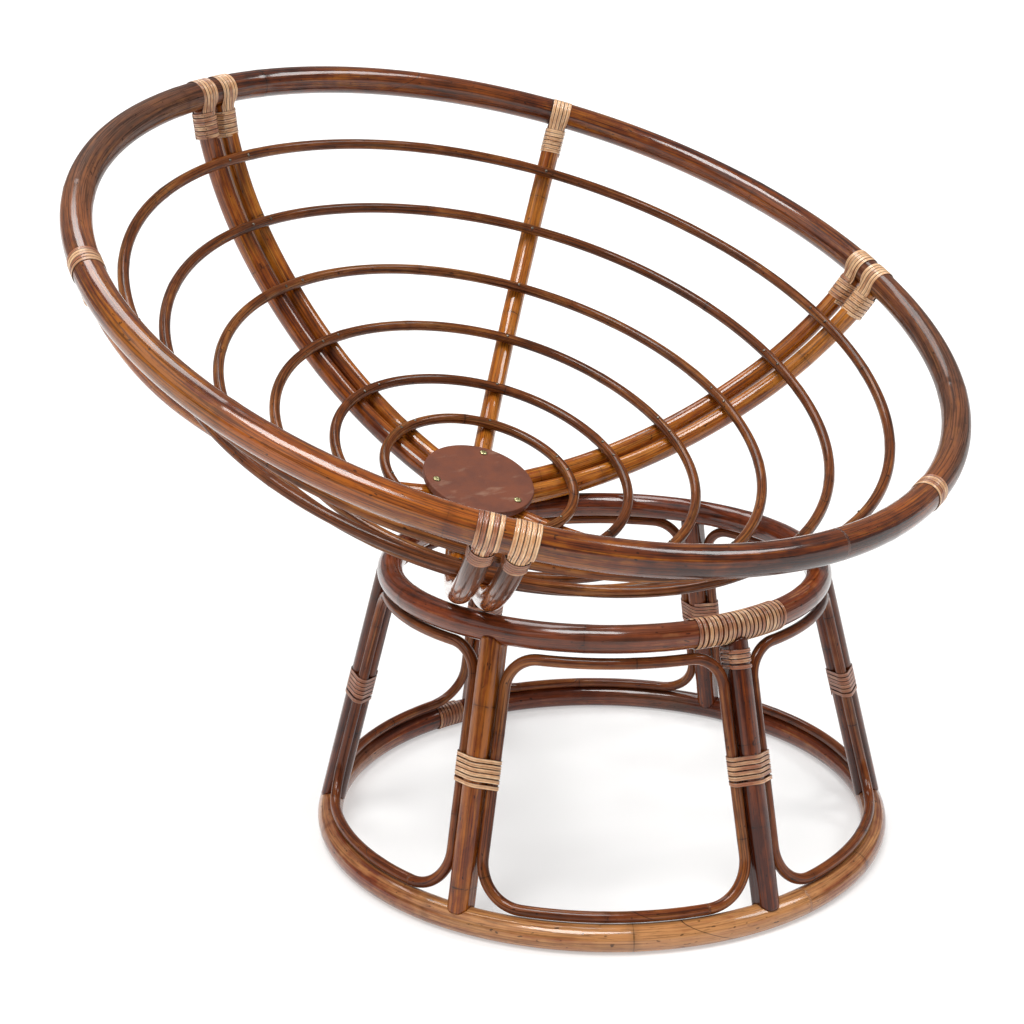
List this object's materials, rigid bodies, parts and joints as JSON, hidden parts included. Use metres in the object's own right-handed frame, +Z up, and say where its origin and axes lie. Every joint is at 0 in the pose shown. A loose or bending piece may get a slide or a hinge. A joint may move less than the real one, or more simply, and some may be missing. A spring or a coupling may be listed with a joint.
{
  "type": "papasan chair",
  "caption": "Papasan chair frame: a dished round bowl of bent rattan poles and slim rings, resting tilted in the top ring of a round legged rattan base.",
  "frame": {"origin": "on the floor, under the middle of the rim, which is the middle of the whole chair", "axes": "+Z up; -Y towards the low side of the tilted rim; +X to the right seen from the low side"},
  "size_m": [1.067, 0.9806, 0.8582],
  "materials": {
    "rim_pole": "bent rattan pole, stained dark brown, gloss lacquer",
    "rib_pole": "bent rattan pole, orange brown, gloss lacquer",
    "ring_pole": "slim rattan pole, brown, satin lacquer",
    "base_pole": "bent rattan pole, dark brown, gloss lacquer",
    "leg_pole": "rattan pole planed on two sides, brown, satin lacquer",
    "loop_pole": "slim rattan pole, brown, satin lacquer",
    "cane": "split cane strip, pale tan, matt",
    "hub_board": "thin round board, red brown, matt",
    "screw_brass": "plated countersunk wood screw"
  },
  "bodies": {
    "base": {"base_ring_bottom": "base_pole", "base_ring_top": "base_pole", "leg_1": "leg_pole", "leg_2": "leg_pole", "leg_3": "leg_pole", "leg_4": "leg_pole", "leg_5": "leg_pole", "leg_6": "leg_pole", "brace_loop_1": "loop_pole", "brace_loop_2": "loop_pole", "brace_loop_3": "loop_pole", "brace_loop_4": "loop_pole", "brace_loop_5": "loop_pole", "brace_loop_6": "loop_pole", "leg_lashing_1": "cane", "leg_lashing_2": "cane", "leg_lashing_3": "cane", "leg_lashing_4": "cane", "leg_lashing_5": "cane", "leg_lashing_6": "cane", "splice_top": "cane", "splice_bottom": "cane", "leg_head_lashing": "cane"},
    "bowl": {"rim": "rim_pole", "hub_board": "hub_board", "rib_back_a": "rib_pole", "rib_back_b": "rib_pole", "rib_back_right": "rib_pole", "rib_right_a": "rib_pole", "rib_right_b": "rib_pole", "rib_front_right": "rib_pole", "rib_front_left_a": "rib_pole", "rib_front_left_b": "rib_pole", "rib_left": "rib_pole", "slim_ring_1": "ring_pole", "slim_ring_2": "ring_pole", "slim_ring_3": "ring_pole", "slim_ring_4": "ring_pole", "slim_ring_5": "ring_pole", "slim_ring_6": "ring_pole", "hub_screw_1": "screw_brass", "hub_screw_2": "screw_brass", "hub_screw_3": "screw_brass", "lashing_back_a": "cane", "lashing_back_b": "cane", "lashing_back_right": "cane", "lashing_right_a": "cane", "lashing_right_b": "cane", "lashing_front_right": "cane", "lashing_front_left_a": "cane", "lashing_front_left_b": "cane", "lashing_left": "cane"}
  },
  "joints": [
    {"name": "bowl_tilt", "type": "hinge", "parent": "base", "child": "bowl", "pos_m": [0, -0.12317, 0.91825], "axis": [1, 0, 0], "range_deg": [-23.5, 8]}
  ]
}
